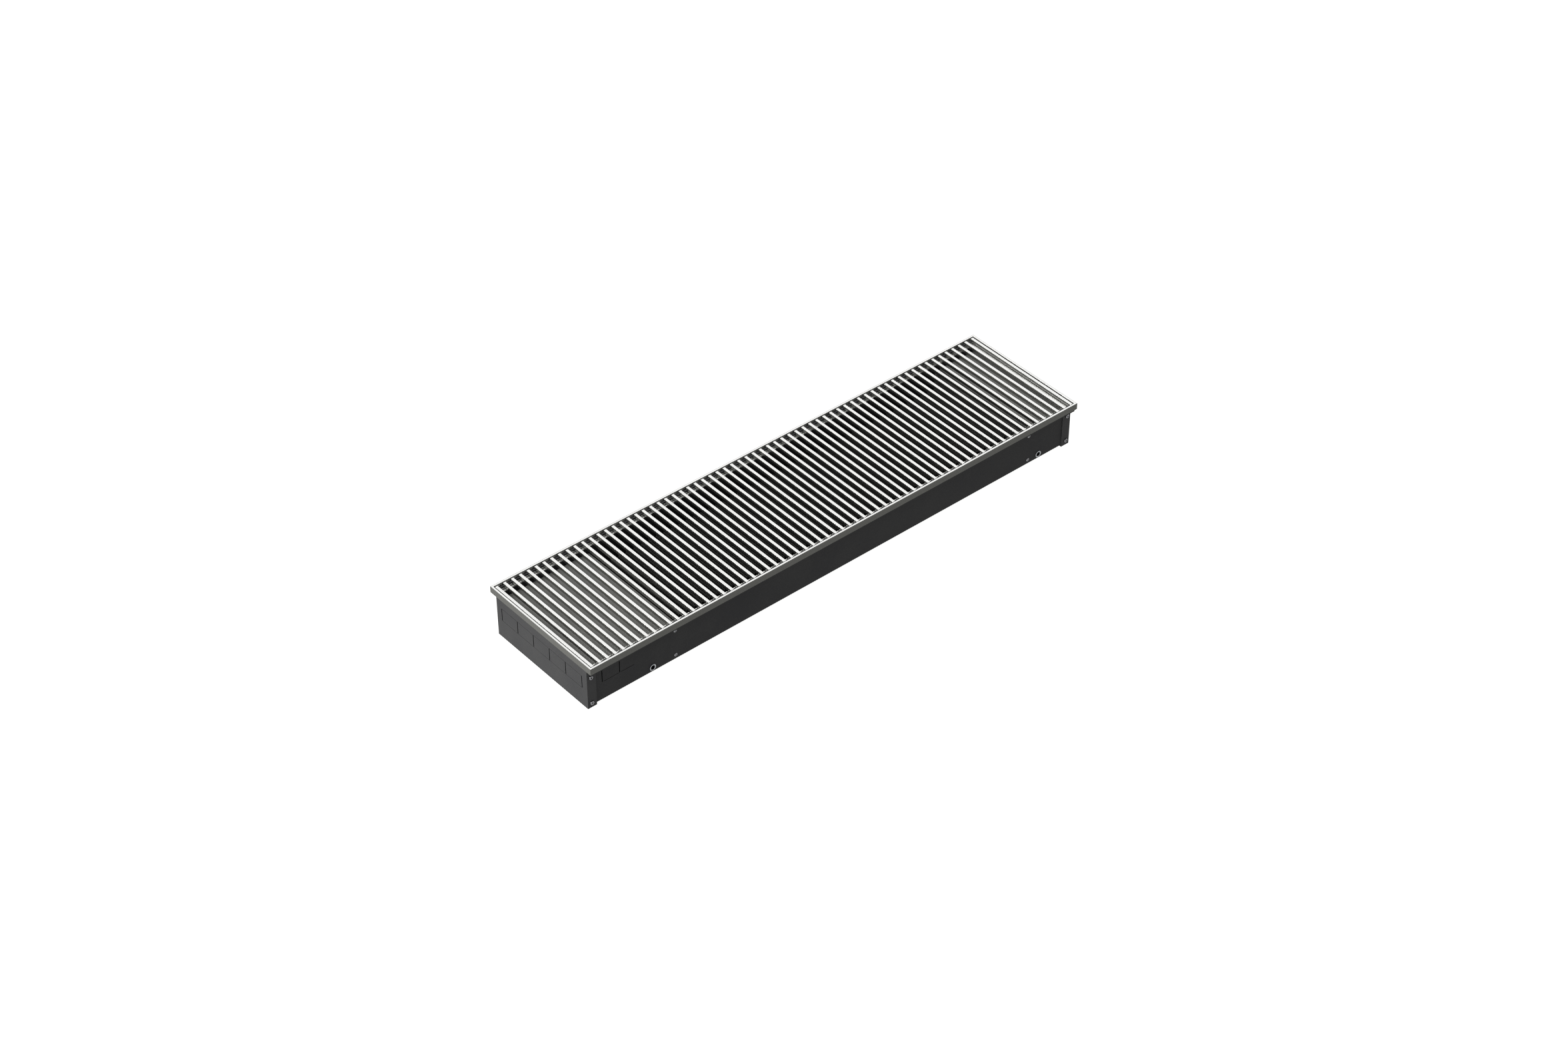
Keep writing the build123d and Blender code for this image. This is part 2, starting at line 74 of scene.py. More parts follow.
def stand_at(azimuth, elevation, roll, distance):
    """Pose matrix that looks at the origin: its back vector is (sin a cos e, -cos a cos e, sin e)."""
    a, e, r = (math.radians(v) for v in (azimuth, elevation, roll))
    back = np.array([math.sin(a) * math.cos(e), -math.cos(a) * math.cos(e), math.sin(e)])
    level = np.array([math.cos(a), math.sin(a), 0.0])
    right = math.cos(r) * level + math.sin(r) * np.cross(back, level)
    pose = np.eye(4)
    pose[:3, 0], pose[:3, 1], pose[:3, 2] = right, np.cross(back, right), back
    pose[:3, 3] = back * distance
    return pose


camera_pose = stand_at(CAMERA_AZIMUTH, CAMERA_ELEVATION, CAMERA_ROLL, CAMERA_DISTANCE)
camera_pose[:3, 3] += camera_pose[:3, 0] * CAMERA_SLIDE[0] + camera_pose[:3, 1] * CAMERA_SLIDE[1]
camera_pose[1, 3] += CENTRE_OFFSET
camera = bpy.data.objects.new("camera", bpy.data.cameras.new("camera"))
bpy.context.scene.collection.objects.link(camera)
camera.data.lens = CAMERA_LENS
camera.data.sensor_width = CAMERA_SENSOR
camera.data.clip_end = VIEW_DEPTH
camera.matrix_world = Matrix(camera_pose)
bpy.context.scene.camera = camera
bpy.context.scene.view_settings.view_transform = "Standard"

# ---- Floor and light ----
# A lit white table in an even white room: it glows, so that shadows on it stay faint. A broad lamp stands
# at each end, and a white panel stands behind and above, for the walking faces of the bars to reflect.
FLOOR_HALF = 30.0
FLOOR_GLOW = 0.97
ROOM_STRENGTH = 0.5


def linear(colour):
    """sRGB hex colour to linear RGBA: a straight line near black and a 2.4 power above it."""
    channels = [int(colour[i:i + 2], 16) / 255 for i in (1, 3, 5)]
    return [c / 12.92 if c <= 0.04045 else ((c + 0.055) / 1.055) ** 2.4 for c in channels] + [1.0]


def set_sockets(material, node, sockets):
    """Sets each input of a node to a value, to a hex colour, or to a link from another node's output."""
    for name, value in sockets.items():
        if isinstance(value, bpy.types.NodeSocket):
            material.node_tree.links.new(value, node.inputs[name])
        else:
            node.inputs[name].default_value = linear(value) if isinstance(value, str) else value


def new_material(name, **sockets):
    """Named material with even values on its shader's own sockets; returns the material and its shader."""
    material = bpy.data.materials.new(name)
    material.use_nodes = True
    shader = material.node_tree.nodes["Principled BSDF"]
    set_sockets(material, shader, {key.replace("_", " "): value for key, value in sockets.items()})
    return material, shader


table_surface = new_material(
    "glowing_table_acrylic", Base_Color="#5A5A5A", Roughness=0.9, Specular_IOR_Level=0.0,
    Emission_Color="#FFFFFE", Emission_Strength=FLOOR_GLOW,
)[0]
floor_mesh = bpy.data.meshes.new("studio_floor")
floor_corners = [(x * FLOOR_HALF, y * FLOOR_HALF, 0.0) for x, y in ((-1, -1), (1, -1), (1, 1), (-1, 1))]
floor_mesh.from_pydata(floor_corners, [], [(0, 1, 2, 3)])
floor_mesh.materials.append(table_surface)
floor = bpy.data.objects.new("studio_floor", floor_mesh)
bpy.context.scene.collection.objects.link(floor)

room = bpy.data.worlds.new("white_room")
room.use_nodes = True
room.node_tree.nodes["Background"].inputs["Color"].default_value = linear("#FFFFFF")
room.node_tree.nodes["Background"].inputs["Strength"].default_value = ROOM_STRENGTH
bpy.context.scene.world = room

for lamp_name, lamp_size, lamp_power, lamp_azimuth, lamp_elevation, lamp_distance in (
    ("pipe_end_lamp", 4.8, 740.0, -99.0, 28.0, 6.0),
    ("far_end_lamp", 3.0, 90.0, 88.0, 30.0, 6.0),
    ("back_panel", 4.5, 46.0, CAMERA_AZIMUTH + 180.0, CAMERA_ELEVATION + 4.0, 4.0),
):
    lamp_data = bpy.data.lights.new(lamp_name, "AREA")
    lamp_data.size = lamp_size
    lamp_data.energy = lamp_power
    lamp = bpy.data.objects.new(lamp_name, lamp_data)
    lamp.matrix_world = Matrix(stand_at(lamp_azimuth, lamp_elevation, 0.0, lamp_distance))
    bpy.context.scene.collection.objects.link(lamp)

# ---- Trough and end plates ----
# Folded sheet steel, powder coated and baked: nearly matt, with a faint orange peel and soft clouds in its
# gloss. The peel is drawn about 2 mm across, coarser than the real grit, so that it shows.
PEEL_SIZE = 0.002
PEEL_DEPTH = 0.00006
CLOUD_SIZE = 0.07
COAT_SWING = 0.06
NOISE_LOW, NOISE_HIGH = 0.3, 0.7


def add_node(material, kind, sockets, **settings):
    """Adds one shader node, with its settings and its inputs."""
    node = material.node_tree.nodes.new(kind)
    for name, value in settings.items():
        setattr(node, name, value)
    set_sockets(material, node, sockets)
    return node


def set_surface(material, shader, colour, gloss, bump):
    """Gives a shader its tone, its gloss and its relief, from the nodes that work them out."""
    set_sockets(material, shader, {
        "Base Color": colour.outputs[2], "Roughness": gloss.outputs[0], "Normal": bump.outputs["Normal"],
    })


def powder_coat(name, dark, light, roughness, specular):
    """Baked powder coat: two close tones in clouds and grit, uneven gloss, and an orange peel."""
    paint, shader = new_material(name, Specular_IOR_Level=specular)
    place = add_node(paint, "ShaderNodeTexCoord", {}).outputs["Object"]
    clouds = add_node(paint, "ShaderNodeTexNoise", {
        "Vector": place, "Scale": 1 / CLOUD_SIZE, "Detail": 4.0}).outputs["Fac"]
    peel = add_node(paint, "ShaderNodeTexNoise", {
        "Vector": place, "Scale": 1 / PEEL_SIZE, "Detail": 2.0}).outputs["Fac"]
    # the tone is the clouds plus half of the grit, which together run from about 0.55 to 0.95
    tone = add_node(
        paint, "ShaderNodeMath", {0: peel, 1: 0.5, 2: clouds}, operation="MULTIPLY_ADD").outputs[0]
    shade = add_node(paint, "ShaderNodeMapRange", {"Value": tone, "From Min": 0.55, "From Max": 0.95})
    colour = add_node(paint, "ShaderNodeMix", {0: shade.outputs[0], 6: dark, 7: light}, data_type="RGBA")
    gloss = add_node(paint, "ShaderNodeMapRange", {
        "Value": clouds, "From Min": NOISE_LOW, "From Max": NOISE_HIGH,
        "To Min": roughness - COAT_SWING, "To Max": roughness + COAT_SWING,
    })
    bump = add_node(paint, "ShaderNodeBump", {"Height": peel, "Distance": PEEL_DEPTH})
    set_surface(paint, shader, colour, gloss, bump)
    return paint


def dress(material, *names):
    """Puts a material in every slot of the named CAD nodes."""
    for name in names:
        for index in range(len(nodes[name].data.materials)):
            nodes[name].data.materials[index] = material


dress(powder_coat("black_powder_coat", "#272728", "#2F2F2F", 0.62, 0.05), "trough_channel")
dress(powder_coat("graphite_powder_coat", "#2E2E2F", "#363636", 0.6, 0.05),
      "end_plate_left", "end_plate_right")

# ---- Rivets, screws and threaded sockets in the sides ----
# Dome blind rivets with the broken mandrel in the head, cross-recess pan screws, and flanged M8 rivet nuts.
# All are steel. Rivets and screws are black passivated zinc, rubbed to a mottled grey. The rivet nuts are
# bright blue-white zinc on the flange; their bore and shank are painted near black, as painted shade in the
# bore.
BLOOM_SIZE = 0.0012
BLOOM_DEPTH = 0.00002
BLOOM_SWING = 0.08
RIVET_X = (-0.3314, 0.4089)
RIVET_Z = (0.0108, 0.0594)
CAP_SCREW_X = (-0.494, 0.494)
CAP_SCREW_Z = (0.009, 0.0595)
ANCHOR_X = (-0.3762, 0.4326)
ANCHOR_Z = 0.0108
RIVET_SIDES = 28
PAN_SIDES = 56
PAN_FLAT_ROWS = 15
PAN_TOP_FROM = 0.0015
CROSS_ARM = 0.002
CROSS_HALF = 0.00045
CROSS_DEPTH = 0.0012
M8_PITCH = 0.00125
SOCKET_BORE = 0.0034
SOCKET_THREAD = 0.0006
SOCKET_SIDES = 32
BORE_ROWS = 88
# how far out from the side face the painted shade of the bore gives way to zinc
BORE_SHADE_FROM, BORE_SHADE_TO = 0.0005, 0.0009
SIDE_FACE = 0.111
CAP_FACE = 0.1125


def zinc_plate(name, dark, light, roughness):
    """Plated steel, mottled in tone and gloss. Returns its material, shader, place and colour."""
    plate, shader = new_material(name, Metallic=1.0)
    place = add_node(plate, "ShaderNodeTexCoord", {}).outputs["Object"]
    bloom = add_node(plate, "ShaderNodeTexNoise", {
        "Vector": place, "Scale": 1 / BLOOM_SIZE, "Detail": 3.0}).outputs["Fac"]
    colour = add_node(plate, "ShaderNodeMix", {0: bloom, 6: dark, 7: light}, data_type="RGBA")
    gloss = add_node(plate, "ShaderNodeMapRange", {
        "Value": bloom, "From Min": NOISE_LOW, "From Max": NOISE_HIGH,
        "To Min": roughness - BLOOM_SWING, "To Max": roughness + BLOOM_SWING,
    })
    bump = add_node(plate, "ShaderNodeBump", {"Height": bloom, "Distance": BLOOM_DEPTH})
    set_surface(plate, shader, colour, gloss, bump)
    return plate, shader, place, colour.outputs[2]


def turn_round(along, radius, count):
    """Grid of points (r cos t, r sin t, s): s and r run down the rows, or are grids, and t runs round."""
    angle = np.linspace(0, 2 * np.pi, count, endpoint=False)[None, :]
    along, radius = (v if np.ndim(v) == 2 else np.asarray(v, float)[:, None] for v in (along, radius))
    return np.stack(np.broadcast_arrays(radius * np.cos(angle), radius * np.sin(angle), along), axis=-1)


def stand_on(grid, centre, out):
    """Carries local points (x, y, z) to centre + x side + y (out x side) + z out, with side across out."""
    out = np.asarray(out, float)
    side = np.array([0.0, 0.0, 1.0]) if abs(out[2]) < 0.5 else np.array([1.0, 0.0, 0.0])
    return grid @ np.stack([side, np.cross(out, side), out]) + np.asarray(centre, float)


def build_piece(name, grids, material, body, stands_for=(), open_rows=False, crease=32.0):
    """One mesh from grids whose columns close round; open rows end at a pole or a rim."""
    points, faces, start = [], [], 0
    for grid in grids:
        rows, columns = grid.shape[:2]
        index = start + np.arange(rows * columns).reshape(rows, columns)
        across = np.roll(index, -1, axis=1)
        down = index if open_rows else np.concatenate([index, index[:1]])
        over = across if open_rows else np.concatenate([across, across[:1]])
        faces.append(np.stack([down[:-1], over[:-1], over[1:], down[1:]], axis=-1).reshape(-1, 4))
        points.append(grid.reshape(-1, 3))
        start += rows * columns
    mesh = bpy.data.meshes.new(name)
    mesh.from_pydata(np.concatenate(points).tolist(), [], np.concatenate(faces).tolist())
    shell = bmesh.new()
    shell.from_mesh(mesh)
    bmesh.ops.remove_doubles(shell, verts=shell.verts, dist=1e-7)
    bmesh.ops.dissolve_degenerate(shell, edges=shell.edges, dist=1e-8)
    bmesh.ops.recalc_face_normals(shell, faces=shell.faces)
    shell.to_mesh(mesh)
    shell.free()
    mesh.polygons.foreach_set("use_smooth", np.ones(len(mesh.polygons), bool))
    mesh.set_sharp_from_angle(angle=math.radians(crease))
    mesh.materials.append(material)
    piece = bpy.data.objects.new(name, mesh)
    bpy.context.scene.collection.objects.link(piece)
    if stands_for:
        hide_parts(*stands_for)
    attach(piece, body)
    return piece


def side_places(face, along, heights):
    """Centres on both long sides, at each x and each height, with their outward directions."""
    return [((x, y * face, z), (0, y, 0)) for x in along for z in heights for y in (-1, 1)]


blue_zinc = zinc_plate("blue_white_zinc", "#6E7073", "#909295", 0.3)[0]
black_zinc = zinc_plate("black_passivated_zinc", "#606062", "#8A8A8D", 0.22)[0]

# rivet: its tail, then the rim of the head, a dome, and down into the hollow round the mandrel's end
rivet_along = np.array([0, 0.35, 0.75, 1.0, 1.1, 1.1, 0.95, 0.55, 0.55, 0.7, 0.75, 0.75]) / 1000
rivet_radius = np.array([3.1, 3.1, 2.75, 2.2, 1.7, 1.25, 1.1, 1.05, 0.8, 0.72, 0.55, 0]) / 1000
rivet_tail = np.array([[-3.2, 0], [-3.2, 2.0], [0, 2.0]]) / 1000
rivet_grid = turn_round(np.concatenate([rivet_tail[:, 0], rivet_along]),
                        np.concatenate([rivet_tail[:, 1], rivet_radius]), RIVET_SIDES)
rivet_grids = [stand_on(rivet_grid, *place) for place in side_places(SIDE_FACE, RIVET_X, RIVET_Z)]
build_piece("blind_rivets", rivet_grids, black_zinc, "casing", ["bulkhead_rivets"],
            open_rows=True)

# pan screw: its shank, the head's rim, an elliptic dome, and a flat top with a tapered cross sunk in it
dome_turn = np.linspace(0, np.pi / 2, 9)
flat_radius = np.linspace(2.2, 0, PAN_FLAT_ROWS)
pan_radius = np.concatenate([[0, 2.0, 2.0, 3.5], 2.3 + 1.2 * np.cos(dome_turn), flat_radius]) / 1000
pan_along = np.concatenate([
    [-4.5, -4.5, 0, 0], 1.0 + np.sin(dome_turn), np.full(PAN_FLAT_ROWS, 2.05)]) / 1000
pan_grid = turn_round(pan_along, pan_radius, PAN_SIDES)
arms = np.sort(np.abs(pan_grid[..., :2]), axis=-1)
in_cross = np.clip((CROSS_HALF * 1.25 - arms[..., 0]) / (CROSS_HALF * 0.5), 0, 1) * np.clip(
    (CROSS_ARM - arms[..., 1]) / (CROSS_HALF * 0.5), 0, 1)
pan_grid[..., 2] -= np.where(pan_grid[..., 2] > PAN_TOP_FROM, in_cross * CROSS_DEPTH, 0)
pan_grids = [stand_on(pan_grid, *place) for place in side_places(CAP_FACE, CAP_SCREW_X, CAP_SCREW_Z)]
build_piece("end_plate_pan_screws", pan_grids, black_zinc, "casing", ["end_plate_screws"],
            open_rows=True)


def thread_wave(along, count, pitch):
    """Thread, 0 at the root and 1 at the crest: a clipped triangle wave of s / pitch - t / 2 pi."""
    angle = np.linspace(0, 1, count, endpoint=False)[None, :]
    phase = (np.asarray(along)[:, None] / pitch - angle) % 1.0
    return np.clip(2.4 * (np.abs(2 * phase - 1)) - 0.7, 0, 1)


# rivet nut: shank outside, round the flange, then a chamfer and a tapped bore back to the tail
bore_along = np.linspace(0.4, -14.0, BORE_ROWS) / 1000
bore_radius = SOCKET_BORE + SOCKET_THREAD * thread_wave(bore_along, SOCKET_SIDES, M8_PITCH)
shell_along = np.array([-14.0, -14.0, -0.05, 0, 0, 0.7, 1.0, 1.0]) / 1000
shell_radius = np.array([3.4, 4.45, 4.45, 4.5, 6.0, 6.0, 5.7, 4.3]) / 1000
shell_rows = np.broadcast_to(shell_radius[:, None], (len(shell_radius), SOCKET_SIDES))
socket_grid = turn_round(
    np.concatenate([shell_along, bore_along]), np.concatenate([shell_rows, bore_radius]), SOCKET_SIDES)
nut_grids = [stand_on(socket_grid, *place) for place in side_places(SIDE_FACE, ANCHOR_X, [ANCHOR_Z])]
# painted shade: all that lies further in than the flange's top, the bore and the shank too, is painted near
# black, and the zinc fades in towards the flange's top
nut_zinc, nut_shader, nut_place, nut_colour = zinc_plate(
    "zinc_flange_bore_painted_shade", "#7C7E81", "#A2A4A7", 0.26)
nut_y = add_node(nut_zinc, "ShaderNodeSeparateXYZ", {"Vector": nut_place}).outputs[1]
nut_reach = add_node(nut_zinc, "ShaderNodeMath", {0: nut_y}, operation="ABSOLUTE").outputs[0]
zinc_beyond_bore_shade = add_node(nut_zinc, "ShaderNodeMapRange", {
    "Value": nut_reach, "From Min": SIDE_FACE + BORE_SHADE_FROM, "From Max": SIDE_FACE + BORE_SHADE_TO,
}).outputs[0]
# painted shade: near black in the bore and on the shank, zinc on the flange
nut_tone = add_node(nut_zinc, "ShaderNodeMix", {0: zinc_beyond_bore_shade, 6: "#1A1A1B", 7: nut_colour}, data_type="RGBA")
set_sockets(nut_zinc, nut_shader, {"Base Color": nut_tone.outputs[2]})
build_piece("anchor_rivet_nuts", nut_grids, nut_zinc, "casing", ["anchor_sockets"])

# ---- Frame rails ----
# Extruded aluminium, mitred. The lip's top and the ledge are satin anodised, with fine lines drawn along
# the rail by the die. The outer face goes against the screed; it is painted a darker, duller grey, partly
# metallic, as painted shade.
LINE_WIDTH = 0.0006
LINE_LENGTH = 0.12
LINE_DEPTH = 0.000004
DRAWN_SWING = 0.05
# the outer faces' painted shade: how deep in from the outside, its roughness, and its metallic share
OUTSIDE_SHADE_DEPTH = 0.0006
OUTSIDE_SHADE_ROUGHNESS = 0.65
OUTSIDE_SHADE_METALLIC = 0.66


def drawn_aluminium(name, dark, light, roughness, along):
    """Anodised extrusion: narrow lines along one axis (0 for X, 1 for Y) in its tone, gloss and height."""
    metal, shader = new_material(name, Metallic=1.0)
    stretch = [1.0, 1.0, 1.0]
    stretch[along] = LINE_WIDTH / LINE_LENGTH
    place = add_node(metal, "ShaderNodeTexCoord", {}).outputs["Object"]
    drawn = add_node(metal, "ShaderNodeMapping", {"Vector": place, "Scale": stretch})
    lines = add_node(metal, "ShaderNodeTexNoise", {
        "Vector": drawn.outputs["Vector"], "Scale": 1 / LINE_WIDTH, "Detail": 2.0}).outputs["Fac"]
    shade = add_node(metal, "ShaderNodeMapRange", {
        "Value": lines, "From Min": NOISE_LOW, "From Max": NOISE_HIGH}).outputs[0]
    colour = add_node(metal, "ShaderNodeMix", {0: shade, 6: dark, 7: light}, data_type="RGBA")
    gloss = add_node(metal, "ShaderNodeMapRange", {
        "Value": shade, "To Min": roughness + DRAWN_SWING, "To Max": roughness - DRAWN_SWING})
    bump = add_node(metal, "ShaderNodeBump", {"Height": lines, "Distance": LINE_DEPTH})
    set_surface(metal, shader, colour, gloss, bump)
    return metal, shader, place, colour.outputs[2], gloss.outputs[0]


def rail_finish(name, along):
    """Anodised lip and ledge, and painted shade, a darker and duller grey, on what lies within a set depth
    of the outside.
    """
    rail, shader, place, metal_colour, metal_gloss = drawn_aluminium(
        name, "#D8D8D6", "#E8E8E6", 0.3, along)
    across = add_node(rail, "ShaderNodeSeparateXYZ", {"Vector": place}).outputs[1 - along]
    outward = add_node(rail, "ShaderNodeMath", {0: across}, operation="ABSOLUTE")
    # painted shade: the outer faces turn a darker, duller, partly metallic grey
    outside = cad_high[1 - along] - OUTSIDE_SHADE_DEPTH
    outside_shade_mask = add_node(rail, "ShaderNodeMapRange", {
        "Value": outward.outputs[0], "From Min": outside, "From Max": outside + OUTSIDE_SHADE_DEPTH / 4,
    }).outputs[0]
    grit = add_node(rail, "ShaderNodeTexNoise", {"Vector": place, "Scale": 1 / PEEL_SIZE, "Detail": 3.0})
    outside_shade_colour = add_node(rail, "ShaderNodeMix", {
        0: grit.outputs["Fac"], 6: "#4C4C49", 7: "#595955"}, data_type="RGBA").outputs[2]
    colour = add_node(rail, "ShaderNodeMix", {0: outside_shade_mask, 6: metal_colour, 7: outside_shade_colour}, data_type="RGBA")
    gloss = add_node(rail, "ShaderNodeMix", {0: outside_shade_mask, 2: metal_gloss, 3: OUTSIDE_SHADE_ROUGHNESS})
    shine = add_node(rail, "ShaderNodeMapRange", {"Value": outside_shade_mask, "To Min": 1.0, "To Max": OUTSIDE_SHADE_METALLIC})
    set_sockets(rail, shader, {
        "Base Color": colour.outputs[2], "Roughness": gloss.outputs[0], "Metallic": shine.outputs[0],
    })
    return rail


dress(rail_finish("anodised_rail_along_x", 0), "frame_rail_front", "frame_rail_back")
dress(rail_finish("anodised_rail_along_y", 1), "frame_rail_left", "frame_rail_right")

# ---- Damping strips ----
# Extruded EPDM rubber in the corner of each long ledge, four soft ribs wide, on which the bar ends rest.
# Black and dull, with a pale dusty bloom.
STRIP_RIBS = 4
STRIP_STATIONS = 41
RUBBER_GRAIN = 0.0015
DUST_DEPTH = 0.00003

rubber, rubber_shader = new_material("epdm_rubber", Specular_IOR_Level=0.3)
rubber_place = add_node(rubber, "ShaderNodeTexCoord", {}).outputs["Object"]
dust = add_node(rubber, "ShaderNodeTexNoise", {
    "Vector": rubber_place, "Scale": 1 / RUBBER_GRAIN, "Detail": 5.0}).outputs["Fac"]
rubber_colour = add_node(rubber, "ShaderNodeMix", {0: dust, 6: "#141414", 7: "#262625"}, data_type="RGBA")
rubber_gloss = add_node(rubber, "ShaderNodeMapRange", {"Value": dust, "To Min": 0.6, "To Max": 0.9})
rubber_bump = add_node(rubber, "ShaderNodeBump", {"Height": dust, "Distance": DUST_DEPTH})
set_surface(rubber, rubber_shader, rubber_colour, rubber_gloss, rubber_bump)


def close_ends(rows):
    """Adds a pole to each end of a grid, in the middle of its first row and of its last row."""
    poles = [np.broadcast_to(rows[i].mean(axis=0), rows[i].shape)[None] for i in (0, -1)]
    return np.concatenate([poles[0], rows, poles[1]])


for strip_name in ("damping_strip_front", "damping_strip_back"):
    # section: a flat back, and a top between 0.44 and all of the height, as a cosine across the ribs
    strip_low, strip_high = (np.array(corner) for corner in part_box(strip_name))
    across = np.linspace(0, 1, 8 * STRIP_RIBS + 1)
    swell = 0.72 - 0.28 * np.cos(2 * np.pi * STRIP_RIBS * across)
    loop_y = strip_low[1] + (strip_high[1] - strip_low[1]) * np.concatenate([across, [1, 0]])
    loop_z = strip_low[2] + (strip_high[2] - strip_low[2]) * np.concatenate([swell, [0, 0]])
    stations = np.linspace(strip_low[0], strip_high[0], STRIP_STATIONS)[:, None]
    strip_rows = np.stack(np.broadcast_arrays(stations, loop_y, loop_z), axis=-1)
    build_piece(f"ribbed_{strip_name}", [close_ends(strip_rows)], rubber, "casing",
                [strip_name], open_rows=True)

# ---- Covers, their brackets and the bulkheads ----
# Cut and folded steel sheet over the two end compartments, in a mid-grey powder coat. The screws are
# countersunk, of blue-white zinc like the levelling screws.
grey_coat = powder_coat("grey_powder_coat", "#7C7C79", "#878784", 0.6, 0.25)
dress(grey_coat, "bulkhead_left", "bulkhead_right", "cover_plate_left", "cover_plate_right",
      "cover_bracket_left", "cover_bracket_right")
dress(blue_zinc, "cover_screws")

# ---- Levelling screws and their weld nuts ----
# M8 steel screws that stand on swaged pads and turn in nuts welded to the trough floor, with a hexagon
# socket in the top end. Rolled threads, zinc plated.
PAD_TOP = 0.001
THREAD_TOP = 0.0394
SCREW_TOP = 0.04
TOP_RADIUS = 0.003
SCREW_ROOT = 0.0034
SCREW_CREST = 0.004
KEY_HALF = 0.002
KEY_DEPTH = 0.005
KEY_TIP = 0.0008
SCREW_SIDES = 30
THREAD_ROWS = 248
THREAD_RUNOUT = 0.0015
THREAD_START = 0.002

# key socket: the radius of a hexagon is half its width over the cosine of the angle from the nearest flat
turn_angle = np.linspace(0, 2 * np.pi, SCREW_SIDES, endpoint=False)
key_radius = KEY_HALF / np.cos((turn_angle + np.pi / 6) % (np.pi / 3) - np.pi / 6)
pad_profile = np.array([
    [0, 0], [0, 8.6], [0.25, 9.0], [0.7, 9.0], [1.0, 8.6], [1.0, 4.6], [1.1, 3.5]]) / 1000
thread_along = np.linspace(PAD_TOP + 0.0002, THREAD_TOP, THREAD_ROWS)
fade = np.clip((THREAD_TOP - thread_along) / THREAD_RUNOUT, 0, 1) * np.clip(
    (thread_along - PAD_TOP) / THREAD_START, 0, 1)
thread_rise = (SCREW_CREST - SCREW_ROOT) * fade[:, None]
thread_radius = SCREW_ROOT + thread_rise * thread_wave(thread_along, SCREW_SIDES, M8_PITCH)
key_along = SCREW_TOP - np.array([0, 0, KEY_DEPTH, KEY_DEPTH + KEY_TIP])
screw_along = np.concatenate([pad_profile[:, 0], thread_along, key_along])
pad_rows = np.broadcast_to(pad_profile[:, 1:], (len(pad_profile), SCREW_SIDES))
top_row = np.full((1, SCREW_SIDES), TOP_RADIUS)
key_rows = key_radius * np.array([[1.0], [0.98], [0.0]])
screw_radius = np.concatenate([pad_rows, thread_radius, top_row, key_rows])
screw_grid = turn_round(screw_along, screw_radius, SCREW_SIDES)
for number in range(1, 5):
    screw_low, screw_high = (np.array(corner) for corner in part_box(f"levelling_screw_{number}"))
    foot = [*((screw_low + screw_high) / 2)[:2], screw_low[2]]
    build_piece(f"threaded_levelling_screw_{number}", [screw_grid + foot], blue_zinc,
                f"levelling_foot_{number}", [f"levelling_screw_{number}"], open_rows=True)
dress(blue_zinc, "levelling_nuts")

# ---- Coil ----
# Four copper tubes through a pack of corrugated aluminium fins, dip-painted black and lighter in patches
# along the top 1.2 mm of each fin. Drawn collars space the fins along each tube. Each fin waves 0.8 mm to
# either side of its middle plane, every 12.5 mm of its height.
FIN_COUNT = 143
FIN_PITCH = 0.005
FIN_WAVE = 0.0125
FIN_RISE = 0.0008
FIN_THICK = 0.0003
FIN_MIDDLE = 0.0005
FIN_ROWS = 33
FIN_TOP_BAND = 0.0012
RUN_SIZE = 0.006
RUN_DEPTH = 0.00006
TUBE_Y = (-0.06, -0.02, 0.02, 0.06)
TUBE_Z = 0.033
COLLAR_RADIUS = 0.0083
COLLAR_SIDES = 16

fin_low, fin_high = (np.array(corner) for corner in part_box("fin_pack"))
fin_height = np.linspace(fin_low[2], fin_high[2], FIN_ROWS)
wave = FIN_RISE * np.sin(2 * np.pi * (fin_height - fin_low[2]) / FIN_WAVE)
fin_section = [(fin_low[1], -1), (fin_high[1], -1), (fin_high[1], 1), (fin_low[1], 1)]
fin_rows = np.stack([
    np.stack([wave + side * FIN_THICK / 2, np.full(FIN_ROWS, y), fin_height], axis=-1)
    for y, side in fin_section
], axis=1)
fin_grid = close_ends(fin_rows)
fin_starts = fin_low[0] + FIN_PITCH * np.arange(FIN_COUNT)

# collar: its radius flares out by 2.2 mm where it leaves each fin
flare = np.array([0, 0.12, 0.3, 0.6, 0.99])
collar_along = (fin_starts[:-1, None] + FIN_PITCH * flare).ravel()
collar_swell = np.tile(np.array([0.0022, 0.0008, 0.0002, 0, 0]), FIN_COUNT - 1)
collar_grid = turn_round(collar_along, COLLAR_RADIUS + collar_swell, COLLAR_SIDES)[..., [2, 1, 0]]

fin_paint, fin_shader = new_material("black_dipped_fin_paint", Specular_IOR_Level=0.35)
fin_place = add_node(fin_paint, "ShaderNodeTexCoord", {}).outputs["Object"]
runs = add_node(fin_paint, "ShaderNodeTexNoise", {
    "Vector": fin_place, "Scale": 1 / RUN_SIZE, "Detail": 5.0}).outputs["Fac"]
fin_level = add_node(fin_paint, "ShaderNodeSeparateXYZ", {"Vector": fin_place}).outputs[2]
